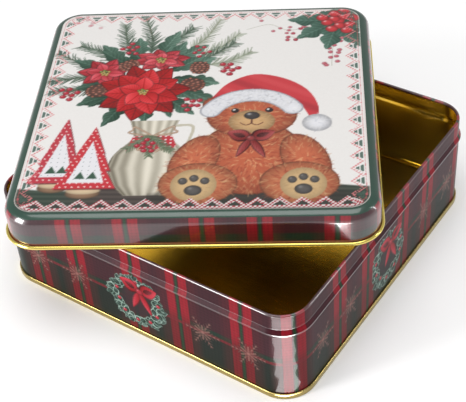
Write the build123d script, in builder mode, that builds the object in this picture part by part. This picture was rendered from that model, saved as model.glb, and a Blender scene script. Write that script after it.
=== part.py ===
from build123d import *

import os

# A square tinplate cookie tin: body wall, seamed bottom panel, and a drawn lid lying askew on the rim.

# Driving dimensions, in millimetres and degrees. Z = 0 is the surface that the tin stands on.
sheet = 0.3  # thickness of the tinplate
wall_width = 200.0  # over the flat body wall, both ways
wall_corner_radius = 17.5
rim_height = 62.0
rim_roll_radius = 0.9
rim_roll_turn = 290.0
neck_start = 52.2
bead_height = 49.0  # middle of the bead
bead_flat = 0.6
bead_slope = 1.7  # height over which the wall runs out to the bead
bead_proud = 0.9
bead_bend_radius = 0.8

seam_proud = 1.0  # how far the bottom seam stands out from the wall
seam_height = 3.6
seam_gap = 0.03  # between the layers folded together in the seam
seam_lip_radius = 0.4
seam_foot_radius = 0.35  # of the two bends beside the flat band that the tin stands on
floor_height = 5.5  # top of the countersunk bottom panel
floor_bend_radius = 2.0

lid_clearance = 0.2  # all round, between the lid's skirt and the neck, with the lid on
lid_height = 20.5
lid_shoulder_radius = 6.0
curl_radius = 1.1  # rolled edge at the foot of the skirt
curl_turn = 300.0

rest_gap = 0.3  # between the lid's rolled edge and the rim under it
lid_offset = (-27.25, 6.65)  # middle of the lid from the middle of the body
lid_turn = 31.2

# Sizes that follow from the driving dimensions.
plate_overlap = 1.0  # how far a flat plate reaches over the flange around it
half_sheet = sheet / 2
half_wall = wall_width / 2
half_neck = half_wall - sheet - lid_clearance  # so the closed lid's skirt is flush with the wall
wall_line = half_wall - half_sheet  # middle of the wall's thickness
neck_line = half_neck - half_sheet
skirt_outside = half_wall
skirt_corner_radius = wall_corner_radius
panel_leg_line = wall_line - sheet - seam_gap
seam_line = half_wall + seam_proud - half_sheet
seam_middle = (panel_leg_line + seam_line) / 2
hook_radius = seam_middle - wall_line
hook_bend_height = sheet + seam_gap + half_sheet + hook_radius
hook_top = seam_height - sheet - 2 * seam_gap - seam_lip_radius

lid_plane = Plane(origin=(*lid_offset, rim_height + rest_gap), z_dir=(0, 0, 1)).rotated((0, 0, lid_turn))
lid_section_plane = Plane(origin=lid_plane.origin, x_dir=lid_plane.x_dir, z_dir=-lid_plane.y_dir)


def rounded_square(half_width, corner_radius):
    """Adds a rounded square to the open BuildLine, starting in the middle of its +X side."""
    for side in (half_width, -half_width):
        FilletPolyline((side, 0), (side, side), (-side, side), (-side, 0), radius=corner_radius)


# Body wall: one band of tinplate with a hook at its foot, a bead, a stepped-in neck and a rim rolled inwards.
with BuildPart() as body_wall:
    with BuildLine():
        rounded_square(half_wall, wall_corner_radius)
    with BuildSketch(Plane.XZ):
        with BuildLine():
            Line((seam_middle + hook_radius, hook_top), (seam_middle + hook_radius, hook_bend_height))
            CenterArc((seam_middle, hook_bend_height), hook_radius, 180, 180)
            FilletPolyline(
                (wall_line, hook_bend_height),
                (wall_line, bead_height - bead_flat / 2 - bead_slope),
                (wall_line + bead_proud, bead_height - bead_flat / 2),
                (wall_line + bead_proud, bead_height + bead_flat / 2),
                (neck_line, neck_start),
                (neck_line, rim_height - rim_roll_radius),
                radius=bead_bend_radius,
            )
            CenterArc(
                (half_neck - rim_roll_radius, rim_height - rim_roll_radius),
                rim_roll_radius - half_sheet,
                0,
                rim_roll_turn,
            )
        trace(line_width=sheet)
    sweep()

# Bottom panel: a countersunk plate whose edge is folded up round the hook of the body wall.
with BuildPart() as bottom_panel:
    with BuildLine():
        rounded_square(half_wall, wall_corner_radius)
    flange_edge = panel_leg_line - floor_bend_radius - 2 * plate_overlap
    with BuildSketch(Plane.XZ):
        with BuildLine():
            FilletPolyline(
                (half_wall + half_sheet + seam_gap, seam_height - half_sheet),
                (seam_line, seam_height - half_sheet),
                (seam_line, half_sheet),
                (panel_leg_line, half_sheet),
                (panel_leg_line, floor_height - half_sheet),
                (flange_edge, floor_height - half_sheet),
                radius=(seam_lip_radius, seam_foot_radius, seam_foot_radius, floor_bend_radius),
            )
        trace(line_width=sheet)
    sweep()
    plate_half = flange_edge + plate_overlap
    with BuildSketch(Plane.XY.offset(floor_height - sheet)):
        RectangleRounded(2 * plate_half, 2 * plate_half, wall_corner_radius - half_wall + plate_half)
    extrude(amount=sheet)

# Lid: one drawn pan with a rounded shoulder, a straight skirt and an edge curled outwards.
with BuildPart() as lid:
    with BuildLine(lid_plane):
        rounded_square(skirt_outside, skirt_corner_radius)
    skirt_line = skirt_outside - half_sheet
    shoulder_edge = skirt_outside - lid_shoulder_radius - 2 * plate_overlap
    with BuildSketch(lid_section_plane):
        with BuildLine():
            FilletPolyline(
                (shoulder_edge, lid_height - half_sheet),
                (skirt_line, lid_height - half_sheet),
                (skirt_line, curl_radius),
                radius=lid_shoulder_radius - half_sheet,
            )
            CenterArc(
                (skirt_line + curl_radius - half_sheet, curl_radius),
                curl_radius - half_sheet,
                180,
                curl_turn,
            )
        trace(line_width=sheet)
    sweep()
    plate_half = shoulder_edge + plate_overlap
    with BuildSketch(lid_plane.offset(lid_height - sheet)):
        RectangleRounded(2 * plate_half, 2 * plate_half, skirt_corner_radius - skirt_outside + plate_half)
    extrude(amount=sheet)

os.makedirs("parts", exist_ok=True)
for name, piece in (("body_wall", body_wall), ("bottom_panel", bottom_panel), ("lid", lid)):
    piece.part.label = name
    export_step(piece.part, f"parts/{name}.step")
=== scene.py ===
import math
import random

import bpy
import numpy as np
from mathutils import Matrix, Vector


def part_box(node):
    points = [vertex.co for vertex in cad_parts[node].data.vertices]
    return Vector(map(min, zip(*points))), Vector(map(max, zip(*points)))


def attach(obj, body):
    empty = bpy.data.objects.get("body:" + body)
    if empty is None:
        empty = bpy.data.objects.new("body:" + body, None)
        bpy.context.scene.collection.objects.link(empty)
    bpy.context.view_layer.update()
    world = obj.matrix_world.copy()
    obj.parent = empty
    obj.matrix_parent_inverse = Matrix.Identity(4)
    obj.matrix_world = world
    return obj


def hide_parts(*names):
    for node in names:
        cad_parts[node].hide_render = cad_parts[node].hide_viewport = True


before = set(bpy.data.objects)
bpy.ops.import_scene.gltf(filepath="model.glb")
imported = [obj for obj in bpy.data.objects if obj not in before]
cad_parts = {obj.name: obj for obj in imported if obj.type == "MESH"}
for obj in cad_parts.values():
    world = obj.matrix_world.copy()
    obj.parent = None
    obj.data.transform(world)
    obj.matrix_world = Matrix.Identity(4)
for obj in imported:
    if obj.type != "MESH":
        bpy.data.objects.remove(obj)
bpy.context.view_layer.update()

# Looks of a printed tinplate cookie tin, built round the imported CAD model. Metres, +Z up.

MM = 0.001
SHEET = 0.3 * MM

# ---------------- places from the frame, and sizes
wall_low, wall_high = (Vector(corner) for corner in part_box("body_wall"))
panel_low, panel_high = (Vector(corner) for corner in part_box("bottom_panel"))
lid_low, lid_high = (Vector(corner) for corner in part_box("lid"))

# Half widths are those of the sheet's outer face. The bead, neck, roll and seam repeat the CAD part's
# sizes. The hook inside the seam, which can't be seen, is a little shorter.
BEAD_PROUD = 0.9 * MM
HALF_WALL = wall_high.x - BEAD_PROUD
WALL_CORNER = 17.5 * MM
WALL_BEND = 0.8 * MM
RIM_TOP = wall_high.z
RIM_ROLL = 0.9 * MM
NECK = HALF_WALL - 0.5 * MM
NECK_FOOT = RIM_TOP - 9.8 * MM
BEAD_LOW, BEAD_TOP = RIM_TOP - 13.3 * MM, RIM_TOP - 12.7 * MM
BEAD_SLOPE = 1.7 * MM

SEAM_PROUD = 1.0 * MM
SEAM_LIP = 3.45 * MM  # height of the lip's middle line above the foot
SEAM_MIDDLE = 2 * MM  # the height at which the parts of the seam's section meet
LAYER_GAP = 0.03 * MM
HOOK_OUT, HOOK_RISE = 0.185 * MM, 1.7 * MM
HOOK_STEPS = 8
FLOOR_BEND = 2 * MM

SKIRT = HALF_WALL
SKIRT_CORNER = WALL_CORNER
LID_MIDDLE = (lid_low + lid_high) / 2
LID_BASE = lid_low.z
LID_HEIGHT = lid_high.z - lid_low.z
LID_TURN = math.radians(31.2)
SHOULDER = 6.0 * MM
CURL = 1.095 * MM  # a hair under the CAD part's 1.1, so that the looks stay inside its box
PRINT_LIFT = 0.03 * MM  # the printed sheets lie this far out from the metal under them


# ---------------- section outlines
def arc(cx, cz, radius, start, turn, steps):
    """Points on an arc; start and turn are in degrees, counter-clockwise."""
    angles = [math.radians(start + turn * k / steps) for k in range(steps + 1)]
    return [(cx + radius * math.cos(a), cz + radius * math.sin(a)) for a in angles]


def soft_path(points, radius, steps=6):
    """A polyline whose inner corners are rounded to the given radius."""
    path = [points[0]]
    for before, corner, after in zip(points, points[1:], points[2:]):
        into = (Vector(corner) - Vector(before)).normalized()
        out = (Vector(after) - Vector(corner)).normalized()
        turn = into.angle_signed(out)
        reach = radius * math.tan(abs(turn) / 2)
        start = Vector(corner) - into * reach
        side = Vector((into.y, -into.x)) * (1 if turn > 0 else -1)
        middle = start + side * radius
        spoke = start - middle
        for k in range(steps + 1):
            angle = -turn * k / steps
            cos, sin = math.cos(angle), math.sin(angle)
            path.append((
                middle.x + spoke.x * cos - spoke.y * sin,
                middle.y + spoke.x * sin + spoke.y * cos,
            ))
    path.append(points[-1])
    return path


def divided(path, longest):
    """The same path with its long straight stretches divided."""
    fine = [path[0]]
    for (x0, z0), (x1, z1) in zip(path, path[1:]):
        pieces = max(1, math.ceil(math.hypot(x1 - x0, z1 - z0) / longest))
        for k in range(1, pieces + 1):
            fine.append((x0 + (x1 - x0) * k / pieces, z0 + (z1 - z0) * k / pieces))
    return fine


def two_sides(path):
    """The left and the right face of the sheet whose middle runs along the path."""
    points = np.array([p for k, p in enumerate(path) if k == 0 or math.dist(p, path[k - 1]) > 1e-7])
    along = np.gradient(points, axis=0)
    along /= np.linalg.norm(along, axis=1)[:, None]
    left = np.stack([-along[:, 1], along[:, 0]], axis=1) * SHEET / 2
    return points + left, points - left


def wall_section():
    """Middle line of the wall's sheet, from the tip of its hook to the end of its rim roll."""
    line, neck = HALF_WALL - SHEET / 2, NECK - SHEET / 2
    middle = HALF_WALL + HOOK_OUT
    hook = middle - line
    foot = wall_low.z + SHEET / 2 + hook
    path = [(middle + hook, foot + HOOK_RISE)] + arc(middle, foot, hook, 0, -180, HOOK_STEPS)
    path += soft_path([
        (line, foot + 0.2 * MM),
        (line, BEAD_LOW - BEAD_SLOPE),
        (line + BEAD_PROUD, BEAD_LOW),
        (line + BEAD_PROUD, BEAD_TOP),
        (neck, NECK_FOOT),
        (neck, RIM_TOP - RIM_ROLL),
    ], WALL_BEND)
    path += arc(NECK - RIM_ROLL, RIM_TOP - RIM_ROLL, RIM_ROLL - SHEET / 2, 0, 290, 20)[1:]
    return divided(path, 4 * MM)


def panel_section():
    """Middle line of the bottom's sheet, from the lip of its seam to the floor."""
    leg = HALF_WALL - SHEET - SHEET / 2 - LAYER_GAP
    outer = HALF_WALL + SEAM_PROUD - SHEET / 2
    low, lip = panel_low.z + SHEET / 2, panel_low.z + SEAM_LIP
    floor = panel_high.z - SHEET / 2
    path = soft_path([(HALF_WALL + 0.18 * MM, lip), (outer, lip), (outer, SEAM_MIDDLE)], 0.4 * MM)
    path += soft_path([(outer, SEAM_MIDDLE), (outer, low), (leg, low), (leg, SEAM_MIDDLE)], 0.35 * MM)
    path += soft_path([(leg, SEAM_MIDDLE), (leg, floor), (leg - 2 * FLOOR_BEND, floor)], FLOOR_BEND, 10)
    return path


def lid_section():
    """Middle line of the lid's sheet, from its flat top to the end of its curl."""
    line = SKIRT - SHEET / 2
    top = LID_HEIGHT - SHEET / 2 - PRINT_LIFT
    path = soft_path([(SKIRT - 8 * MM, top), (line, top), (line, CURL)], SHOULDER - SHEET / 2, 16)
    path += arc(line + CURL - SHEET / 2, CURL, CURL - SHEET / 2, 180, 300, 20)[1:]
    return path


# ---------------- meshes
def stations(half, corner):
    """Places round a rounded square, and its length round.

    Each place is a point, its outward direction and its distance along from the front's middle.
    """
    straight = half - corner
    straight_steps, corner_steps = 24, 14
    places, distance = [], 0.0
    for quarter in range(4):
        turn = Matrix.Rotation(quarter * math.pi / 2, 2)
        for k in range(straight_steps):
            s = -straight + 2 * straight * k / straight_steps
            places.append((turn @ Vector((s, -half)), turn @ Vector((0, -1)), distance + s + straight))
        distance += 2 * straight
        for k in range(corner_steps):
            angle = math.pi / 2 * k / corner_steps
            out = Vector((math.sin(angle), -math.cos(angle)))
            places.append((turn @ (Vector((straight, -straight)) + out * corner), turn @ out,
                           distance + corner * angle))
        distance += corner * math.pi / 2
    return [(point, out, d - straight) for point, out, d in places], distance


def add(name, data):
    """A new object in the scene."""
    thing = bpy.data.objects.new(name, data)
    bpy.context.collection.objects.link(thing)
    return thing


def set_attribute(mesh, name, kind, domain, values):
    """Stores a vector or a colour for each corner or point of a mesh."""
    layer = mesh.attributes.new(name, kind, domain)
    field = "color" if kind == "FLOAT_COLOR" else "vector"
    layer.data.foreach_set(field, np.asarray(values, dtype=np.float32).ravel())


def new_piece(name, verts, faces, body, node, materials):
    mesh = bpy.data.meshes.new(name)
    mesh.from_pydata([tuple(v) for v in verts], [], faces)
    for material in materials:
        mesh.materials.append(material)
    piece = add(name, mesh)
    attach(piece, body)
    if node:
        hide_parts(node)
    return piece


def swept(name, half, corner, outline, colours, closed, place, body, node, materials):
    """Sweeps a section outline round a rounded square. colours holds each outline step's material index.

    The "strip" attribute holds, at each face corner, the distance along the wall and the height in metres.
    """
    places, around = stations(half, corner)
    count, wide = len(places), len(outline)
    verts = []
    for point, out, _ in places:
        for x, z in outline:
            xy = point + out * (x - half)
            verts.append(place @ Vector((xy.x, xy.y, z)))
    faces, index, strip = [], [], []
    distances = [d for _, _, d in places] + [places[0][2] + around]
    steps = wide if closed else wide - 1
    for i in range(count):
        j = (i + 1) % count
        for k in range(steps):
            m = (k + 1) % wide
            faces.append((i * wide + k, j * wide + k, j * wide + m, i * wide + m))
            index.append(colours[k])
            low, high = outline[k][1], outline[m][1]
            strip += [(distances[i], low, 0), (distances[i + 1], low, 0)]
            strip += [(distances[i + 1], high, 0), (distances[i], high, 0)]
    if not closed:
        for k, colour in ((0, colours[0]), (wide - 1, colours[-1])):
            loop = [i * wide + k for i in range(count)]
            faces.append(loop if k else loop[::-1])
            index.append(colour)
            strip += [(0, outline[k][1], 0)] * count
    piece = new_piece(name, verts, faces, body, node, materials)
    mesh = piece.data
    mesh.polygons.foreach_set("material_index", index)
    mesh.polygons.foreach_set("use_smooth", [True] * len(faces))
    set_attribute(mesh, "strip", "FLOAT_VECTOR", "CORNER", strip)
    mesh.update()
    mesh.set_sharp_from_angle(angle=math.radians(40))


# ---------------- painting the printed sheets
def cos_sin(turn):
    """Cosine and sine of an angle in degrees."""
    return math.cos(math.radians(turn)), math.sin(math.radians(turn))


def heading(x, y):
    """The direction of a step, in degrees."""
    return math.degrees(math.atan2(y, x))


class Picture:
    """Colours painted on the points of a flat sheet. Sizes in millimetres, colours 0 to 255."""

    def __init__(self, u, v, ground):
        self.u, self.v = u, v
        self.colour = np.tile(np.array(ground, dtype=float), (len(u), 1))
        self.alpha = np.zeros(len(u))
        self.edge = 0.5

    def near(self, place, reach):
        close = (np.abs(self.u - place[0]) < reach) & (np.abs(self.v - place[1]) < reach)
        index = np.nonzero(close)[0]
        return index, self.u[index] - place[0], self.v[index] - place[1]

    def lay(self, index, cover, colour, strength=1.0):
        cover = np.clip(cover, 0, 1) * strength
        self.colour[index] += (np.asarray(colour, dtype=float) - self.colour[index]) * cover[:, None]
        self.alpha[index] = np.maximum(self.alpha[index], cover)

    def stroke(self, start, end, wide, narrow, colour, strength=1.0):
        """A straight brush stroke that goes from one width to another."""
        run = np.subtract(end, start)
        length = max(float(np.hypot(*run)), 1e-6)
        middle = (np.asarray(start) + end) / 2
        index, u, v = self.near(middle, length / 2 + max(wide, narrow) + 1)
        u, v = u + middle[0] - start[0], v + middle[1] - start[1]
        t = np.clip((u * run[0] + v * run[1]) / length ** 2, 0, 1)
        off = np.hypot(u - run[0] * t, v - run[1] * t)
        half = (wide + (narrow - wide) * t) / 2
        self.lay(index, (half - off) / self.edge + 0.5, colour, strength)

    def curve(self, points, wide, narrow, colour, strength=1.0):
        """A smooth brush stroke through the points."""
        path = smooth(points, 6)
        for k, (start, end) in enumerate(zip(path, path[1:])):
            share = k / (len(path) - 1)
            width = wide + (narrow - wide) * share
            self.stroke(start, end, width, width, colour, strength)

    def oval(self, place, size, colour, turn=0.0, dark=0.35, shine=0.0, strength=1.0, soft=1.0):
        """A rounded oval, darker towards its edge, with an optional highlight at its upper left."""
        index, u, v = self.near(place, max(size) + 1.5)
        cos, sin = cos_sin(turn)
        x, y = (u * cos + v * sin) / size[0], (v * cos - u * sin) / size[1]
        q = np.hypot(x, y)
        tone = 1 - dark * np.clip(q, 0, 1) ** 3
        paint = np.asarray(colour, dtype=float) * tone[:, None]
        spot = np.exp(-((u / size[0] + 0.35) ** 2 + (v / size[1] - 0.4) ** 2) / 0.07) * shine
        paint += (255 - paint) * np.clip(spot, 0, 1)[:, None]
        self.lay(index, (1 - q) * min(size) / (self.edge * soft) + 0.5, paint, strength)

    def leaf(self, place, turn, length, width, colour, spikes=0, vein=30):
        """A leaf or petal from its foot. spikes is the number of points on each side."""
        index, u, v = self.near(place, length + 1)
        cos, sin = cos_sin(turn)
        s, t = (u * cos + v * sin) / length, v * cos - u * sin
        inside = np.clip(s, 0, 1)
        half = width * np.sin(math.pi * inside ** 0.8) ** 0.85
        if spikes:
            half *= 0.62 + 0.42 * np.abs(np.cos(math.pi * spikes * inside)) ** 0.7
        cover = np.minimum(half - np.abs(t), length * np.minimum(s, 1 - s)) / self.edge + 0.5
        across = t / np.maximum(half, 0.3)
        tone = -18 * across - 34 * (1 - inside) ** 2 + 12 * inside
        tone += 9 * np.sin((inside * 9 - np.abs(across) * 1.6) * 2 * math.pi)
        tone += vein * np.exp(-(t / 0.35) ** 2)
        paint = np.clip(np.asarray(colour, dtype=float) + tone[:, None], 0, 255)
        self.lay(index, cover, paint)

    def shape(self, points, colour, strength=1.0):
        """A filled outline."""
        points = np.asarray(points, dtype=float)
        middle = (points.max(0) + points.min(0)) / 2
        index, u, v = self.near(middle, np.ptp(points, axis=0).max() / 2 + 1)
        u, v = u + middle[0], v + middle[1]
        inside = np.zeros(len(index), dtype=bool)
        off = np.full(len(index), 1e9)
        for (u0, v0), (u1, v1) in zip(points, np.roll(points, -1, axis=0)):
            crosses = (v0 > v) != (v1 > v)
            rise = v1 - v0 if v1 != v0 else 1e-9
            inside ^= crosses & (u < (u1 - u0) * (v - v0) / rise + u0)
            length2 = (u1 - u0) ** 2 + (v1 - v0) ** 2 + 1e-12
            t = np.clip(((u - u0) * (u1 - u0) + (v - v0) * (v1 - v0)) / length2, 0, 1)
            off = np.minimum(off, np.hypot(u - u0 - (u1 - u0) * t, v - v0 - (v1 - v0) * t))
        cover = np.where(inside, off, -off) / self.edge + 0.5
        self.lay(index, cover, colour, strength)
        return index, np.clip(cover, 0, 1), u, v


SPIRAL = 137.5  # degrees from each seed or berry to the next, which spreads them evenly


def smooth(points, steps):
    """Points on a smooth line through the given ones."""
    points = [np.asarray(p, dtype=float) for p in points]
    ends = [2 * points[0] - points[1], *points, 2 * points[-1] - points[-2]]
    path = [points[0]]
    for a, b, c, d in zip(ends, ends[1:], ends[2:], ends[3:]):
        for k in range(1, steps + 1):
            t = k / steps
            path.append(0.5 * (2 * b + (c - a) * t + (2 * a - 5 * b + 4 * c - d) * t ** 2
                               + (3 * b - a - 3 * c + d) * t ** 3))
    return path


def polar(place, turn, reach):
    """The point at that reach from the place, in the direction of turn in degrees."""
    cos, sin = cos_sin(turn)
    return (place[0] + reach * cos, place[1] + reach * sin)


def sprig(art, draw, points, needle, colour, strength=1.0):
    """A pine twig: a thin stem with needles that lean towards its tip."""
    path = smooth(points, 7)
    art.curve(points, 0.9, 0.5, (110, 98, 70), strength)
    for k, (start, end) in enumerate(zip(path, path[1:])):
        ahead = heading(*(end - start))
        reach = needle * (1.05 - 0.45 * k / len(path))
        for side in (-1, 1):
            for step in (0.0, 0.5):
                foot = start + (end - start) * step
                turn = ahead + side * draw.uniform(28, 50)
                tint = draw.uniform(-22, 34)
                shade = tuple(min(255, c + tint) for c in colour)
                tip = polar(foot, turn, reach * draw.uniform(0.75, 1.1))
                art.stroke(foot, tip, 0.85, 0.3, shade, strength)


def cone(art, draw, place, size, turn):
    """A pine cone: rows of overlapping scales."""
    art.oval(place, size, (96, 62, 52), turn)
    for row in np.linspace(-0.8, 0.8, 6):
        wide = math.sqrt(1 - row * row)
        for column in np.linspace(-wide, wide, max(2, round(5 * wide))) * 0.85:
            x, y = column * size[0], row * size[1]
            spot = polar(place, turn + heading(x, y), math.hypot(y, x))
            tint = draw.uniform(-20, 25)
            shade = (168 + tint, 106 + tint, 88 + tint)
            art.oval(spot, (1.15, 0.8), shade, draw.uniform(-40, 40), dark=0.5)


def fur(art, draw, place, size, turn, colours, count, length, strength=0.55):
    """Short strokes that run outwards over an oval."""
    for _ in range(count):
        angle = draw.uniform(0, 360)
        out = math.sqrt(draw.random()) * 0.98
        cos, sin = cos_sin(angle)
        x, y = size[0] * out * cos, size[1] * out * sin
        outwards = turn + heading(x, y)
        spot = polar(place, outwards, math.hypot(x, y))
        lie = outwards + draw.uniform(-45, 45)
        colour = draw.choice(colours)
        edge = 1 - 0.18 * out
        shade = tuple(c * edge for c in colour)
        art.stroke(spot, polar(spot, lie, length * draw.uniform(0.5, 1.1)), 0.8, 0.3, shade, strength)


def berry_cluster(art, draw, place, count, reach, size, stalk_foot):
    """Round berries spread evenly about a place, each on a stalk towards stalk_foot."""
    first = draw.uniform(0, 360)
    for k in range(count):
        spot = polar(place, first + SPIRAL * k, reach * math.sqrt((k + 0.4) / count))
        stalk = (Vector(spot) * 2 + Vector(stalk_foot)) / 3
        art.stroke(spot, stalk, 0.5, 0.4, (128, 84, 66), 0.8)
        art.oval(spot, (size, size * 0.92), (186, 40, 58), dark=0.4, shine=0.65)


def flower(art, place, rings, squash, colour):
    """A poinsettia from rings of evenly spaced petals: (count, first turn, length, width, tone) each."""
    for count, first, length, width, tone in rings:
        for k in range(count):
            x, y = polar((0, 0), first + 360 * k / count, 1)
            lie, reach = heading(x, squash * y), math.hypot(x, squash * y)
            shade = tuple(c + tone + (8 if k % 2 else -8) for c in colour)
            foot = polar(place, lie, 1.5)
            art.leaf(foot, lie, length * reach + 0.8, width + 0.5, tuple(0.55 * c for c in shade))
            art.leaf(foot, lie, length * reach, width, shade, vein=-45)
    for k in range(11):
        spot = polar(place, SPIRAL * k, 0.9 * math.sqrt(k))
        art.oval(spot, (1.0, 0.9), (196, 168, 92) if k % 3 else (120, 140, 60), dark=0.5, shine=0.4)


def bow(art, place, size, colour, tails):
    """A ribbon bow with a knot, two loops and a tail towards each of the given places."""
    dark = tuple(0.6 * c for c in colour)
    for tail in tails:
        run = Vector(tail) - Vector(place)
        lie = heading(run.x, run.y)
        art.leaf(place, lie, run.length, size * 0.28, dark, vein=0)
        art.leaf(place, lie, run.length - 1, size * 0.2, colour, vein=0)
    for turn in (24, 156):
        art.leaf(place, turn, size * 1.5, size * 0.55, dark, vein=0)
        art.leaf(polar(place, turn, 1), turn, size * 1.38, size * 0.46, colour, vein=0)
        art.leaf(polar(place, turn, size * 0.35), turn, size * 0.8, size * 0.2, dark, vein=0)
    art.oval(place, (size * 0.28, size * 0.25), colour, dark=0.5, shine=0.3)


def edge_depth(u, v, half, corner):
    """How far inside a rounded square each point lies."""
    x, y = np.abs(u) - (half - corner), np.abs(v) - (half - corner)
    return corner - np.hypot(np.maximum(x, 0), np.maximum(y, 0)) - np.minimum(np.maximum(x, y), 0)


def zigzag(along, pitch):
    """Swings evenly between 0 and 1, once in each pitch."""
    return np.abs((along + pitch / 2) % pitch - pitch / 2) / (pitch / 2)


def paint_border(art, half, corner):
    """A plain stitched border: triangles and a zigzag at three sides, a bolder zigzag at the front."""
    everywhere = np.arange(len(art.u))
    depth = edge_depth(art.u, art.v, half, corner)
    front = (art.v < 0) & (np.abs(art.v) >= np.abs(art.u))
    along = np.where(np.abs(art.u) > np.abs(art.v), art.v, art.u)
    stitch = 1.25
    even = (np.floor(along / stitch) + np.floor(depth / stitch)) % 2 < 1
    row = 1.9

    wave = zigzag(along, 2 * half / 18)
    step = np.floor(depth - 3.0)
    triangle = (step >= 0) & (depth < 7.2) & (wave < 0.52 * (1 - step / 4.6)) & (depth % 1.0 < 0.74)
    near_wave = np.abs(depth - 8.9 + 5.6 * wave) < 1.25
    dashes = (np.abs(depth - row) < 0.5) & (along % 1.3 < 0.75)
    art.lay(everywhere, ~front & triangle, (66, 92, 82), 0.85)
    art.lay(everywhere, ~front & even & near_wave, (220, 128, 132), 0.85)
    art.lay(everywhere, ~front & dashes, (204, 96, 104), 0.8)

    peak = 7.8 - 5.4 * zigzag(along, 2 * half / 16)
    stitches = front & ((np.abs(depth - peak) < 1.5) | (np.abs(depth - row) < 0.9))
    art.lay(everywhere, front & (depth < peak), (58, 62, 56))
    art.lay(everywhere, stitches & even, (232, 222, 220), 0.95)
    art.lay(everywhere, stitches & ~even, (184, 62, 76), 0.9)
    art.lay(everywhere, (0.6 - depth) / 0.4 + 0.5, (214, 204, 200), 0.8)


def paint_table(art, edge):
    """A dark table edge along the front, under everything else."""
    everywhere = np.arange(len(art.u))
    cover = (edge + 1.2 * np.sin(art.u / 9) - art.v) / 1.2 + 0.5
    grain = 10 * np.sin(art.v * 1.7 + 0.05 * art.u)[:, None] * np.array([1, 0.9, 0.8])
    moss = np.clip(np.sin(art.u / 14 + 1.0) * 0.5 + 0.3, 0, 1)[:, None] * np.array([-22, 6, -2])
    art.lay(everywhere, cover, np.array([74, 66, 62]) + grain + moss)


HOLLY = (62, 94, 78)


def paint_bouquet(art, draw, heart):
    """Poinsettias with fir, holly, cones and berries round them. heart is the largest flower's middle."""
    centre = Vector(heart) + Vector((2, 14))
    for k, turn in enumerate((18, 36, 52)):
        foot = centre + Vector(polar((0, 0), turn, 38))
        twig = [foot, polar(foot, turn, 14), polar(foot, turn + 10, 28 + 4 * k)]
        sprig(art, draw, twig, 9, (138, 148, 128), 0.75)
    for k, turn in enumerate((196, 178, 160, 138, 114, 92, 70, 30)):
        foot = centre + Vector(polar((0, 0), turn, 26))
        bend = 8 if k % 2 else -8
        twig = [foot, polar(foot, turn, 15), polar(foot, turn + bend, 32 + 4 * (k % 3))]
        sprig(art, draw, twig, 10, (70, 90, 74))
    ring = 13
    for k in range(2 * ring):
        turn = 24 + 360 * k / ring
        foot = polar(centre, turn, 24 if k < ring else 15)
        tint = 20 * math.cos(math.radians(turn - 40)) - (0 if k < ring else 14)
        shade = tuple(c + tint for c in HOLLY)
        art.leaf(foot, turn + draw.uniform(-16, 16), 20 + 4 * (k % 3), 5.8, shade, spikes=3)
    pink, deep = (206, 78, 88), (200, 66, 78)
    flower(art, centre + Vector((6, 18)), [(8, 10, 16, 4.0, -30), (6, 30, 10, 3.2, 0)], 0.6, pink)
    flower(art, centre + Vector((-27, 6)), [(7, 20, 15, 4.2, -30), (6, 50, 10, 3.4, 0)], 0.85, deep)
    for spot, size, turn in (
        ((-28, -12), (8.5, 6.5), 10), ((-13, 13), (6.5, 5.5), 30),
        ((30, 9), (6, 6.5), 0), ((27, -8), (7.5, 6.5), -20),
    ):
        cone(art, draw, centre + Vector(spot), size, turn)
    for spot, size in (
        ((-14, 30), 1.8), ((-46, -14), 2.0), ((48, 8), 2.0), ((30, 27), 1.5), ((27, -27), 1.9),
    ):
        place = centre + Vector(spot)
        berry_cluster(art, draw, place, 7, 6.5, size, place - Vector(spot) * 0.25)
    rings = [(7, 5, 26, 7.8, -56), (7, 30, 21, 7, -18), (5, 18, 13, 5.4, 8)]
    flower(art, heart, rings, 1.0, (204, 38, 44))


def paint_jug(art, draw, foot, height):
    """A ribbed cream jug with a chequered collar, a twine bow and a berry sprig."""
    cream = (228, 222, 206)
    profile = [(0, 11), (8, 17), (22, 22), (34, 20), (46, 12), (52, 11), (height, 14)]
    right = smooth([(foot[0] + half, foot[1] + v) for v, half in profile], 4)
    outline = right + [(2 * foot[0] - u, v) for u, v in right[::-1]]
    neck = (foot[0], foot[1] + 50)
    handle = [(neck[0] + 11, neck[1] + 9), (neck[0] + 22, neck[1] + 8), (neck[0] + 20, neck[1] - 8)]
    art.curve(handle, 2.0, 1.6, (196, 190, 172))
    index, cover, u, v = art.shape(outline, cream)
    half = np.interp(v - foot[1], [p[0] for p in profile], [p[1] for p in profile])
    across = np.clip((u - foot[0]) / half, -1, 1)
    ribs = 24 * np.cos(14 * np.arcsin(across)) - 20
    tone = ribs - 70 * np.clip(-across, 0, 1) ** 2 - 40 * np.clip(across, 0, 1) ** 3
    at_foot = 24 * np.exp((foot[1] - v) / 7)
    shaded = np.array(cream) + tone[:, None] - at_foot[:, None]
    art.lay(index, cover, np.clip(shaded, 0, 255))

    scallops = [(neck[0] + 14 - 4 * k, neck[1] - (13 if k % 2 else 9)) for k in range(8)]
    collar = [(neck[0] - 11, neck[1]), (neck[0] + 11, neck[1]), *scallops]
    index, cover, u, v = art.shape(collar, (190, 50, 62))
    checks = (u % 3.0 < 1.35) & (v % 3.0 < 1.35)
    art.lay(index, cover * checks, (240, 228, 226), 0.9)
    for turn in (25, 155, 250, 292):
        tip = polar(neck, turn, 13)
        for wide, colour in ((1.2, (138, 106, 88)), (0.5, (206, 184, 160))):
            loop = [neck, polar(tip, turn + 90, 3), tip, polar(tip, turn - 90, 3), neck]
            art.curve(loop, wide, wide, colour)
    for turn in (214, 262, 304):
        sprig(art, draw, [neck, polar(neck, turn, 8), polar(neck, turn + 6, 18)], 6, (98, 112, 88))
    berry_cluster(art, draw, (neck[0] - 3, neck[1] - 9), 8, 6, 1.8, neck)


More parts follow.
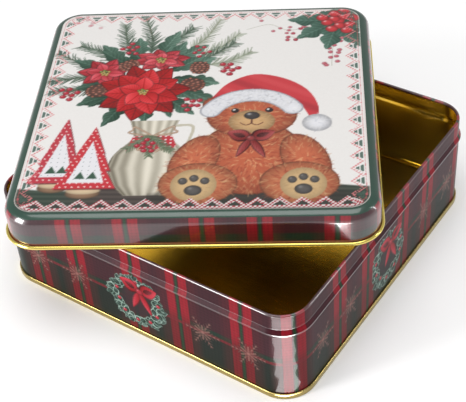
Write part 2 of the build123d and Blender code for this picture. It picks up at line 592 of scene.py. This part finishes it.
def paint_paper_tree(art, foot, height, half, tint):
    """A cut-out fir tree with a dotted red edge and a pale middle, on a round wooden foot."""
    art.oval((foot[0], foot[1] - 4), (half * 0.55, 4.2), (150, 118, 92), dark=0.4)
    art.oval((foot[0], foot[1] - 1.6), (half * 0.55, 3.0), (214, 190, 156), dark=0.2)
    right = []
    for tier in range(3):
        low = height * tier / 3.6
        right += [(half * (1 - 0.27 * tier), low), (half * (0.60 - 0.17 * tier), low + height / 3.6)]
    right[-1] = (0, height)
    outline = [(foot[0] + u, foot[1] + v) for u, v in right]
    outline += [(foot[0] - u, foot[1] + v) for u, v in right[-2::-1]]
    art.shape([(u + 0.8, v - 1.0) for u, v in outline], (104, 40, 44), 0.8)
    index, cover, u, v = art.shape(outline, tint)
    art.lay(index, cover * (((u + 0.5 * v) % 3.4 < 0.9) & (v % 3.0 < 0.9)), (244, 220, 216), 0.85)
    inset = [(foot[0] + half * u, foot[1] + height * v) for u, v in ((-0.60, 0.09), (0.60, 0.09), (0, 0.76))]
    index, cover, u, v = art.shape(inset, (232, 232, 236))
    art.lay(index, cover * ((u % 3.6 < 0.8) & (v % 3.6 < 0.8)), (112, 122, 128), 0.8)
    for side in (-1, 1):
        middle = foot[0] + side * half * 0.2
        little_tree = [(middle - 3, foot[1] + 8), (middle + 3, foot[1] + 8), (middle, foot[1] + 14)]
        art.shape(little_tree, (56, 88, 70))


# The bear's colours.
COAT = [(150, 62, 44), (190, 92, 64), (198, 102, 70), (226, 150, 106), (240, 190, 140)]
SOLE = (214, 180, 132)
PAD = (92, 88, 86)
SOLE_FUR = [(222, 190, 144), (206, 170, 122)]
MUZZLE_FUR = [(222, 184, 136), (200, 154, 104)]
KNIT = (232, 233, 238)
WOOL = [(252, 252, 252), (206, 208, 218), (236, 236, 240)]


def furry(art, draw, place, size, turn=0.0, base=(192, 98, 66), colours=COAT, length=3.4, outline=0.62):
    """A fur-covered oval."""
    art.oval(place, (size[0] + 0.7, size[1] + 0.7), tuple(outline * c for c in base), turn, dark=0.1)
    art.oval(place, size, base, turn, dark=0.28)
    fur(art, draw, place, size, turn, colours, round(1.3 * size[0] * size[1]), length)


def paint_bear(art, draw, seat, size):
    """A plain toy bear in a knitted hat and a bow, square to the front. Drawn 100 high, then scaled."""
    whole = art.u, art.v
    art.u, art.v = (art.u - seat[0]) / size, (art.v - seat[1]) / size
    art.oval((2, -2), (50, 5), (56, 52, 48), strength=0.8, soft=6)
    furry(art, draw, (0, 28), (27, 28))
    for side in (-1, 1):
        furry(art, draw, (28 * side, 26), (11, 20), 20 * side, (200, 108, 74))
        furry(art, draw, (25 * side, 8), (19, 15), 0, (206, 122, 84))
        art.oval((27 * side, 7), (11.5, 12), SOLE, dark=0.2)
        fur(art, draw, (27 * side, 7), (10, 11), 0, SOLE_FUR, 130, 2.4, 0.4)
        art.oval((27 * side, 3), (4.4, 3.8), PAD, dark=0.45, shine=0.25)
        for toe in (-1, 0, 1):
            art.oval((27 * side + 5.5 * toe, 12 - 2 * abs(toe)), (2.3, 2.6), PAD, dark=0.45, shine=0.25)
        furry(art, draw, (20 * side, 72), (6, 6))
        art.oval((20 * side, 72), (3.4, 3.4), SOLE, dark=0.3)
    furry(art, draw, (0, 62), (23, 17.5), 0, (194, 98, 66))
    furry(art, draw, (0, 57), (11.5, 9), 0, (212, 170, 120), MUZZLE_FUR, 2.0, 0.8)
    art.oval((0, 62), (4.2, 3.2), (66, 62, 62), dark=0.4, shine=0.6)
    for side in (-1, 1):
        art.oval((9 * side, 66.5), (2.1, 2.0), (40, 34, 34), dark=0.3)
        art.oval((9 * side - 0.6, 67.2), (0.7, 0.6), (250, 250, 250), dark=0)
        art.curve([(0, 58.5), (0, 55.5), (3 * side, 54), (6 * side, 56)], 0.6, 0.5, (110, 70, 52))
    bow(art, (0, 43), 9, (150, 58, 58), [(-7, 28), (8, 27)])

    index, cover, u, v = art.shape(smooth([
        (-22, 78), (-14, 91), (0, 99), (16, 95), (29, 84), (35, 68), (32, 56), (24, 72), (0, 84),
    ], 4), (200, 58, 66))
    fold = np.sin(0.18 * u + 0.3 * v + 0.6)
    art.lay(index, cover * np.clip(fold - 0.35, 0, 1), (158, 40, 50), 0.9)
    art.lay(index, cover * np.clip(-fold - 0.5, 0, 1), (224, 92, 96), 0.7)
    brim = [polar((0, 55), turn, 25) for turn in range(152, 27, -6)]
    for spot in brim:
        art.oval(spot, (5.8, 5.6), (196, 198, 208), dark=0.2)
    for spot in brim:
        art.oval(spot, (4.8, 4.8), KNIT, dark=0.06)
        fur(art, draw, spot, (4.6, 4.6), 0, WOOL, 16, 2.2, 0.6)
    furry(art, draw, (34, 55), (7, 6.5), 0, KNIT, WOOL, 2.4, 0.8)
    art.u, art.v = whole


def paint_corner(art, draw, half):
    """Holly and berries in the far right corner, with fading berry twigs beside it."""
    heart = (half - 13, half - 14)
    for points, count, size, strength in (
        ([(66, 76), (50, 71), (38, 78), (24, 73)], 14, 1.0, 0.7),
        ([(64, 64), (57, 62), (50, 64)], 6, 1.1, 0.9),
        ([(80, 66), (77, 52), (76, 32)], 16, 1.2, 0.75),
        ([(-88, 92), (-78, 86), (-66, 80)], 12, 1.1, 0.28),
    ):
        art.curve(points, 0.5, 0.4, (150, 150, 130), strength * 0.7)
        path = smooth(points, 8)
        for _ in range(count):
            spot = polar(draw.choice(path), draw.uniform(0, 360), draw.uniform(2, 6))
            round_size = (1.3 * size, 1.3 * size)
            art.oval(spot, round_size, (186, 56, 74), dark=0.4, shine=0.5, strength=strength)
    for k in range(9):
        turn = 95 + 360 * k / 9
        length = 29 if 170 < turn < 300 else 13
        art.leaf(polar(heart, turn, 3), turn, length, 7.5, (62, 96, 82), spikes=3)
    for k in range(12):
        spot = polar(heart, SPIRAL * k, 3.6 * math.sqrt(k))
        art.oval(spot, (3.9, 3.6), (204, 52, 58), dark=0.4, shine=0.65)


def paint_lid_picture(art, half, corner):
    """A winter still life: flowers in a jug, two paper trees and a toy bear on a table."""
    draw = random.Random(7)
    paint_table(art, -76.5)
    paint_corner(art, draw, half)
    paint_bouquet(art, draw, (-35, 10))
    paint_jug(art, draw, (-25, -82), 64)
    paint_paper_tree(art, (-75, -71), 56, 15, (188, 56, 70))
    paint_paper_tree(art, (-58, -76), 53, 17, (198, 50, 60))
    paint_bear(art, draw, (30, -82), 1.08)
    paint_border(art, half, corner)


def paint_wreath(art, draw, place, radius):
    """A ring of frosted leaves with berries and a bow."""
    art.oval(place, (radius * 0.88, radius * 0.88), (30, 44, 38), dark=0, strength=0.75)
    art.oval(place, (radius * 0.5, radius * 0.5), (40, 30, 34), dark=0, strength=0.9)
    for k in range(120):
        turn, out = draw.uniform(0, 360), draw.uniform(0.55, 0.82) * radius
        spot, lie = polar(place, turn, out), turn + draw.choice((-1, 1)) * draw.uniform(15, 85)
        length, tint = draw.uniform(4.5, 6.5), draw.uniform(-24, 24)
        art.leaf(spot, lie, length, 2.1, (160 + tint, 184 + tint, 172 + tint), vein=0)
        art.leaf(polar(spot, lie, 0.6), lie, length - 0.9, 1.7, (34, 54, 46), vein=34)
    for k in range(10):
        spot = polar(place, 36 * k + 14, radius * draw.uniform(0.62, 0.8))
        art.oval(spot, (1.4, 1.3), (176, 44, 58), dark=0.4, shine=0.6)
    bow(art, (place[0] + 3, place[1] + radius * 0.45), 9, (164, 32, 46),
        [(place[0] - 3, place[1] - 6), (place[0] + 10, place[1] - 7)])


def paint_snowflake(art, place, radius):
    """Six arms with barbs in pale ink, and short arms between them."""
    ink = (160, 116, 106)
    for k in range(12):
        turn = 30 * k
        reach = radius if k % 2 == 0 else radius * 0.5
        art.stroke(place, polar(place, turn, reach), 1.1, 0.9, ink, 0.6)
        for share in (0.4, 0.65, 0.88):
            for side in (-48, 48):
                foot = polar(place, turn, reach * share)
                tip = polar(foot, turn + side, reach * 0.36 * (1.25 - share))
                art.stroke(foot, tip, 1.0, 0.8, ink, 0.6)


def paint_wall_picture(art, seed):
    """A wreath in the middle with two snowflakes at each side of it."""
    draw = random.Random(seed)
    middle_height = 26
    for u in (-72, -43, 43, 72):
        paint_snowflake(art, (u, middle_height), 11)
    paint_wreath(art, draw, (-1, middle_height), 20)


# ---------------- materials
def linear(colour):
    """Linear light from 0 to 255 display values."""
    colour = np.clip(colour, 0, 255) / 255
    return np.where(colour <= 0.04045, colour / 12.92, ((colour + 0.055) / 1.055) ** 2.4)


def srgb(red, green, blue):
    """A shader colour from 0 to 255 display values."""
    return (*linear((red, green, blue)).tolist(), 1)


class Nodes:
    """Short calls for building one material's node tree."""

    def __init__(self, name):
        self.material = bpy.data.materials.new(name)
        self.material.use_nodes = True
        self.tree = self.material.node_tree
        self.shader = self.tree.nodes["Principled BSDF"]

    def fill(self, node, inputs):
        """Sets a node's inputs, or links them to the sockets given."""
        for name, value in inputs.items():
            if isinstance(value, bpy.types.NodeSocket):
                self.tree.links.new(value, node.inputs[name])
            else:
                node.inputs[name].default_value = value

    def node(self, kind, inputs, **settings):
        node = self.tree.nodes.new("ShaderNode" + kind)
        for name, value in settings.items():
            setattr(node, name, value)
        self.fill(node, inputs)
        return node

    def math(self, operation, *values):
        return self.node("Math", dict(enumerate(values)), operation=operation).outputs[0]

    def mix(self, factor, first, second, blend="MIX"):
        inputs = {0: factor, 6: first, 7: second}
        return self.node("Mix", inputs, data_type="RGBA", blend_type=blend).outputs[2]

    def attribute(self, name):
        return self.node("Attribute", {}, attribute_name=name)

    def noise(self, scale, detail, stretch=(1, 1, 1)):
        """Noise in the object's own space, with features about 1 / scale metres wide."""
        coords = self.node("TexCoord", {}).outputs["Object"]
        mapping = self.node("Mapping", {"Scale": stretch, "Vector": coords})
        inputs = {"Vector": mapping.outputs[0], "Scale": scale, "Detail": detail, "Roughness": 0.5}
        return self.node("TexNoise", inputs).outputs["Fac"]

    def spread(self, value, low, high):
        """Maps 0..1 to low..high."""
        return self.math("MULTIPLY_ADD", value, high - low, low)

    def band(self, value, middle, half_width, soft):
        """1 inside the band and 0 outside, with a soft edge."""
        off = self.math("ABSOLUTE", self.math("SUBTRACT", value, middle))
        return self.above(off, half_width, soft, 1, 0)

    def ripple(self, value, spacing):
        """Swings between 0 and 1 once in each spacing."""
        angle = self.math("MULTIPLY", value, 2 * math.pi / spacing)
        return self.spread(self.math("SINE", angle), 0.5, 1.0)

    def above(self, value, edge, soft, below=0, beyond=1):
        """0 below the edge and 1 above it, or the two given numbers."""
        inputs = {"Value": value, "From Min": edge - soft, "From Max": edge + soft,
                  "To Min": below, "To Max": beyond}
        return self.node("MapRange", inputs, interpolation_type="SMOOTHSTEP").outputs[0]

    def bump(self, height, strength, distance):
        """Raises the surface a little by the height."""
        node = self.node("Bump", {"Strength": strength, "Distance": distance, "Height": height})
        self.fill(self.shader, {"Normal": node.outputs[0]})

    def lacquer(self, colour, coat, roughness=0.3, bump=0.02, sheen=0.5):
        """Glossy lacquer over the colour, with a faint unevenness."""
        self.fill(self.shader, {
            "Base Color": colour,
            "Specular IOR Level": sheen,
            "Coat Weight": coat,
            "Coat Roughness": 0.06,
            "Coat IOR": 1.6,
            "Roughness": self.spread(self.noise(300, 3), roughness - 0.06, roughness + 0.08),
        })
        self.bump(self.noise(90, 2), bump, 0.4 * MM)
        return self.material


def gold_material(name, low, high, roughness):
    """Clear gold lacquer over bright tinplate, with the fine grain of rolled sheet."""
    n = Nodes(name)
    grain = n.noise(60, 4, (1, 14, 1))
    n.fill(n.shader, {
        "Base Color": n.mix(n.noise(22, 3), low, high),
        "Metallic": 1.0,
        "Roughness": n.spread(grain, roughness, 2.2 * roughness),
    })
    n.bump(grain, 0.03, 0.3 * MM)
    return n.material


TARTAN = {
    "upper": srgb(57, 21, 30),
    "lower": srgb(24, 33, 27),
    "green": srgb(20, 44, 32),
    "red_high": srgb(138, 16, 32),
    "red_low": srgb(108, 20, 26),
    "line": srgb(112, 24, 34),
    "thread": srgb(28, 58, 34),
}


REPEATS = 11
PAIR_STEP = 30 * MM
STRIPE_OFF, STRIPE_HALF = 4.1 * MM, 2.6 * MM
PRINT_EDGE = 0.35 * MM


def tartan_material(name, around, phase, upper_edge, line_band, green_band, decor=False, coat=0.13):
    """Tartan from the distance along the wall and the height above its foot, both in metres.

    Two pairs of red stripes repeat round the tin. line_band and green_band are a middle height and half a
    width each. With decor, the painted colours of a sheet lie over the tartan.
    """
    n = Nodes(name)
    strip = n.attribute("strip").outputs["Vector"]
    along, height, _ = n.node("SeparateXYZ", {0: strip}).outputs
    period = around / REPEATS
    turn = n.math("FLOORED_MODULO", n.math("SUBTRACT", along, phase - period / 4), period)

    upright_noise = n.spread(n.noise(60, 1, (1, 1, 0.02)), 0.0, 0.34)
    threads = n.math("MULTIPLY", n.ripple(along, 2.3 * MM), upright_noise)
    level_noise = n.spread(n.noise(60, 1, (0.02, 0.02, 1)), 0.0, 0.34)
    rows = n.math("MULTIPLY", n.ripple(height, 2.1 * MM), level_noise)
    fuzz = n.spread(n.noise(1500, 2), -0.12, 0.12)
    cloth = n.math("ADD", n.math("ADD", threads, rows), n.math("ADD", fuzz, 0.74))

    ground = n.mix(n.above(height, upper_edge, 1.2 * MM), TARTAN["lower"], TARTAN["upper"])
    ground = n.mix(n.band(height, *green_band, 0.8 * MM), ground, TARTAN["green"])
    shade = n.mix(n.above(height, upper_edge, 5 * MM), TARTAN["red_low"], TARTAN["red_high"])
    for centre in (period / 4, period / 4 + PAIR_STEP):
        wash = n.band(turn, centre, 12 * MM, 3 * MM)
        ground = n.mix(n.math("MULTIPLY", wash, 0.18), ground, TARTAN["red_low"])
        for side in (-1, 1):
            ground = n.mix(n.band(turn, centre + side * STRIPE_OFF, STRIPE_HALF, PRINT_EDGE), ground, shade)
        ground = n.mix(n.band(turn, centre, 0.7 * MM, 0.3 * MM), ground, TARTAN["thread"])
    line = n.math("MULTIPLY", n.band(height, *line_band, PRINT_EDGE), 0.8)
    ground = n.mix(line, ground, TARTAN["line"])
    ground = n.mix(1.0, ground, n.mix(cloth, (0, 0, 0, 1), (1, 1, 1, 1)), "MULTIPLY")
    if decor:
        motif = n.attribute("print")
        ground = n.mix(motif.outputs["Alpha"], ground, motif.outputs["Color"])
    return n.lacquer(ground, coat, sheen=0.5 * coat if coat > 0.5 else 0.05)


def print_material():
    """The lid's picture, from the colour painted on its mesh, with the grain of a printed sheet."""
    n = Nodes("lid_picture")
    grain = n.mix(n.spread(n.noise(900, 1), 0.0, 1.0), srgb(230, 229, 228), srgb(237, 236, 235))
    picture = n.mix(1.0, n.attribute("print").outputs["Color"], grain, "MULTIPLY")
    return n.lacquer(picture, coat=0.25, roughness=0.35, bump=0.015, sheen=0.25)


def band_material():
    """Dark green lacquer on the lid's shoulder."""
    n = Nodes("shoulder_green")
    colour = n.mix(n.noise(140, 3), srgb(16, 50, 38), srgb(24, 66, 50))
    return n.lacquer(colour, coat=0.6)


# ---------------- the tin
gold = gold_material("gold_lacquer", srgb(226, 204, 104), srgb(236, 216, 124), 0.12)
inside_gold = gold_material("inside_gold", srgb(236, 208, 116), srgb(244, 218, 130), 0.11)
# Smoother and slightly brighter gold for the inside bends. The low roughness is real; the brighter colour is
# a painted highlight.
highlight_gold = gold_material("highlight_gold", srgb(242, 218, 124), srgb(250, 228, 140), 0.045)
seam_gold = gold_material("seam_gold", srgb(160, 142, 86), srgb(174, 156, 100), 0.16)
lid_place = Matrix.Translation((LID_MIDDLE.x, LID_MIDDLE.y, LID_BASE)) @ Matrix.Rotation(LID_TURN, 4, "Z")
here = Matrix.Identity(4)
wall_round = stations(HALF_WALL, WALL_CORNER)[1]
lid_round = stations(SKIRT, SKIRT_CORNER)[1]

wall_cloth = {"around": wall_round, "phase": -1.5 * MM, "upper_edge": 31 * MM,
              "line_band": (26.5 * MM, 1.0 * MM), "green_band": (28.5 * MM, 2.2 * MM)}
skirt_cloth = {"around": lid_round, "phase": 6.5 * MM, "upper_edge": 8.5 * MM,
               "line_band": (2.4 * MM, 0.8 * MM), "green_band": (6.2 * MM, 2.4 * MM)}
wall_print = tartan_material("wall_tartan", **wall_cloth)
neck_print = tartan_material("neck_tartan", **wall_cloth, coat=1.0)
wall_picture = tartan_material("wall_tartan_decor", **wall_cloth, decor=True)
skirt_print = tartan_material("skirt_tartan", **skirt_cloth, coat=1.0)
shoulder_print = band_material()
lid_picture = print_material()

# Glossier print on the bead, the foot of the neck and the rim: a middle height and a reach each.
GLOSS_LINES = [((BEAD_LOW + BEAD_TOP) / 2, 0.45 * MM), (NECK_FOOT, 0.25 * MM), (RIM_TOP, 2.2 * MM)]
# Between these heights the inside is a smoother gold whose colour is also a little brighter: a painted
# highlight that brings out its bends.
GROOVE_LOW, GROOVE_TOP = BEAD_LOW - 2.2 * MM, NECK_FOOT + 0.8 * MM
ROLL_STEPS_INSIDE = 5  # steps at the end of the rim's roll that are unprinted


def make_wall():
    left, right = two_sides(wall_section())
    outline = list(map(tuple, right)) + list(map(tuple, left[::-1]))
    rim_end = len(right) - ROLL_STEPS_INSIDE
    printed, inside, glossy, bend = range(4)
    colours = []
    # Inside steps in the groove band get the gold with the painted highlight.
    for k, (_, z) in enumerate(outline):
        middle = (z + outline[(k + 1) % len(outline)][1]) / 2
        if not HOOK_STEPS < k < rim_end:
            colours.append(bend if GROOVE_LOW < middle < GROOVE_TOP else inside)
        elif any(abs(middle - height) < reach for height, reach in GLOSS_LINES):
            colours.append(glossy)
        else:
            colours.append(printed)
    swept("body_wall_shell", HALF_WALL, WALL_CORNER, outline, colours, True, here,
          "base", "body_wall", [wall_print, inside_gold, neck_print, highlight_gold])


def make_bottom():
    left, right = two_sides(panel_section())
    outline = list(map(tuple, left[::-1])) + list(map(tuple, right))
    seam, inside, bend = range(3)
    colours = []
    # The inside of the floor's bend gets the gold with the painted highlight.
    for x, _ in outline:
        if x < HALF_WALL - 2 * FLOOR_BEND:
            colours.append(inside)
        elif x < HALF_WALL - 0.7 * MM:
            colours.append(bend)
        else:
            colours.append(seam)
    swept("bottom_panel_shell", HALF_WALL, WALL_CORNER, outline, colours, False, here,
          "base", "bottom_panel", [seam_gold, inside_gold, highlight_gold])


def make_lid():
    left, right = two_sides(lid_section())
    outline = list(map(tuple, left)) + list(map(tuple, right[::-1]))
    printed, shoulder, curl, inside = range(4)
    colours = []
    for k, (x, z) in enumerate(outline):
        if k >= len(left) and z > 2 * CURL:
            colours.append(inside)
        elif k >= len(left) - 1 or z < 1.6 * CURL:
            colours.append(curl)
        elif x < SKIRT - 0.32 * SHOULDER:
            colours.append(shoulder)
        else:
            colours.append(printed)
    swept("lid_shell", SKIRT, SKIRT_CORNER, outline, colours, False, lid_place,
          "lid", "lid", [skirt_print, shoulder_print, gold, inside_gold])


def grid(u_low, u_high, v_low, v_high, spacing):
    """Points and square faces of a flat grid. Sizes in millimetres."""
    u_line = np.linspace(u_low, u_high, round((u_high - u_low) / spacing) + 1)
    v_line = np.linspace(v_low, v_high, round((v_high - v_low) / spacing) + 1)
    u, v = (axis.ravel() for axis in np.meshgrid(u_line, v_line))
    wide = len(u_line)
    first = (np.arange(len(v_line) - 1)[:, None] * wide + np.arange(wide - 1)).ravel()
    return u, v, np.stack([first, first + 1, first + wide + 1, first + wide], axis=1)


def rounded_grid(half, corner, spacing):
    """A square grid whose four corners are rounded: points beyond the outline move onto it."""
    u, v, faces = grid(-half, half, -half, half, spacing)
    x, y = np.abs(u) - (half - corner), np.abs(v) - (half - corner)
    reach = np.hypot(x, y)
    beyond = (x > 0) & (y > 0) & (reach > corner)
    pull = np.where(beyond, corner / np.maximum(reach, 1e-9), 1)
    u = np.where(beyond, np.sign(u) * (half - corner + x * pull), u)
    v = np.where(beyond, np.sign(v) * (half - corner + y * pull), v)
    faces = faces[~beyond[faces].all(axis=1)]
    used, faces = np.unique(faces, return_inverse=True)
    return u[used], v[used], faces.reshape(-1, 4)


def make_sheet(name, art, faces, place, body, material, strip_start=None):
    """A printed sheet in the plane of u and v. Its colours are in the "print" attribute."""
    verts = [place @ Vector((u * MM, v * MM, 0)) for u, v in zip(art.u, art.v)]
    piece = new_piece(name, verts, faces.tolist(), body, None, [material])
    paint = np.column_stack([linear(art.colour), art.alpha])
    set_attribute(piece.data, "print", "FLOAT_COLOR", "POINT", paint)
    if strip_start is not None:
        strip = np.column_stack([strip_start + art.u * MM, art.v * MM, 0 * art.u])
        set_attribute(piece.data, "strip", "FLOAT_VECTOR", "POINT", strip)


LID_GRID, WALL_GRID = 0.6, 0.45  # spacing of the painted points in millimetres


def make_lid_sheet():
    half = (SKIRT - SHOULDER) / MM
    corner = (SKIRT_CORNER - SHOULDER) / MM
    u, v, faces = rounded_grid(half, corner, LID_GRID)
    art = Picture(u, v, (236, 234, 232))
    paint_lid_picture(art, half, corner)
    make_sheet("lid_picture_sheet", art, faces, lid_place @ Matrix.Translation((0, 0, LID_HEIGHT)),
               "lid", lid_picture)


def make_wall_sheets():
    reach = (HALF_WALL - WALL_CORNER) / MM
    low, high = 4, 46
    upright = Matrix.Translation((0, -HALF_WALL - PRINT_LIFT, 0)) @ Matrix.Rotation(math.pi / 2, 4, "X")
    for quarter, side in enumerate(("front", "right", "back", "left")):
        u, v, faces = grid(-reach, reach, low, high, WALL_GRID)
        art = Picture(u, v, (0, 0, 0))
        paint_wall_picture(art, quarter)
        place = Matrix.Rotation(quarter * math.pi / 2, 4, "Z") @ upright
        make_sheet(f"wall_picture_{side}", art, faces, place, "base", wall_picture,
                   quarter * wall_round / 4)


make_wall()
make_bottom()
make_lid()
make_lid_sheet()
make_wall_sheets()


# ---------------- floor, light and camera
def make_floor():
    mesh = bpy.data.meshes.new("floor")
    reach = 6.0
    corners = [(-reach, -reach, 0), (reach, -reach, 0), (reach, reach, 0), (-reach, reach, 0)]
    mesh.from_pydata(corners, [], [(0, 1, 2, 3)])
    floor = add("floor", mesh)
    n = Nodes("floor_paper")
    paper = n.mix(n.noise(3, 2), srgb(251, 251, 251), srgb(254, 254, 254))
    n.fill(n.shader, {"Base Color": paper, "Roughness": 0.9})
    mesh.materials.append(n.material)


def aim(thing, place, target):
    ahead = Vector(target) - Vector(place)
    thing.matrix_world = Matrix.Translation(place) @ ahead.to_track_quat("-Z", "Y").to_matrix().to_4x4()


def axes_at(x_axis, y_axis, z_axis, place):
    """The matrix that puts something at a place, with these axes."""
    return Matrix.Translation(place) @ Matrix((x_axis, y_axis, z_axis)).transposed().to_4x4()


def make_light(name, place, target, size, power, only_reflected=False):
    """A rectangular light that the camera doesn't see. only_reflected leaves it out of matt surfaces."""
    light = bpy.data.lights.new(name, "AREA")
    light.shape = "RECTANGLE"
    light.size, light.size_y = size
    light.energy = power
    lamp = add(name, light)
    lamp.visible_camera = False
    lamp.visible_diffuse = not only_reflected
    aim(lamp, place, target)
    return lamp


def toward(azimuth, elevation):
    """Unit direction in degrees: azimuth from the tin's front towards its right, elevation upwards."""
    azimuth, elevation = math.radians(azimuth), math.radians(elevation)
    level = math.cos(elevation)
    return Vector((math.sin(azimuth) * level, -math.cos(azimuth) * level, math.sin(elevation)))


def make_floor_strip():
    """Lights side by side on the floor before the near corner, widening outwards, for the stripe on it."""
    away = toward(30, 0)
    across = Vector((-away.y, away.x, 0))
    corner = toward(45, 0) * (HALF_WALL * math.sqrt(2) - WALL_CORNER * (math.sqrt(2) - 1))
    step, lift = 9 * MM, Vector((0, 0, 2 * MM))
    power = 56  # watts for each square metre
    for k in range(8):
        reach = (k + 0.7) * step
        wide = 1.5 * reach + 11 * MM
        lamp = make_light(f"floor_strip_{k}", (0, 0, 0), (0, 0, -1), (wide, step), power * wide * step, True)
        lamp.matrix_world = axes_at(across, away, (0, 0, -1), corner + away * reach + lift)


def make_camera():
    """The camera looks down at the tin's front corner, and leans a little to one side."""
    back, roll = toward(36.5, 41.1), math.radians(-4.4)
    target, distance = Vector((0, 0, 30 * MM)), 0.6862
    right = (-back).cross(Vector((0, 0, 1))).normalized()
    up = right.cross(-back)
    leaning_right = right * math.cos(roll) + up * math.sin(roll)
    leaning_up = up * math.cos(roll) - right * math.sin(roll)
    data = bpy.data.cameras.new("camera")
    data.sensor_width = 36
    data.lens = 89.25
    data.shift_x, data.shift_y = -0.0132, -0.0208
    camera = add("camera", data)
    camera.matrix_world = axes_at(leaning_right, leaning_up, back, target + back * distance)
    bpy.context.scene.camera = camera


make_floor()
TIN_MIDDLE = (0, 0, 50 * MM)
BOX_REACH = 1.2
make_light("overhead", (0.1, -0.1, 1.3), (0, 0, 0), (1.0, 1.0), 9.3)
make_light("left_softbox", toward(-30, 20) * BOX_REACH, TIN_MIDDLE, (0.26, 0.8), 9)
make_light("right_softbox", toward(122, 22) * BOX_REACH, TIN_MIDDLE, (0.08, 0.8), 2.2)
make_light("reflection_card", toward(-18, 16) * BOX_REACH, TIN_MIDDLE, (0.24, 0.7), 11, True)
make_floor_strip()
world = bpy.data.worlds.new("studio")
world.use_nodes = True
world.node_tree.nodes["Background"].inputs["Color"].default_value = (1, 1, 1, 1)
world.node_tree.nodes["Background"].inputs["Strength"].default_value = 0.5
bpy.context.scene.world = world
bpy.context.scene.view_settings.view_transform = "Standard"
make_camera()
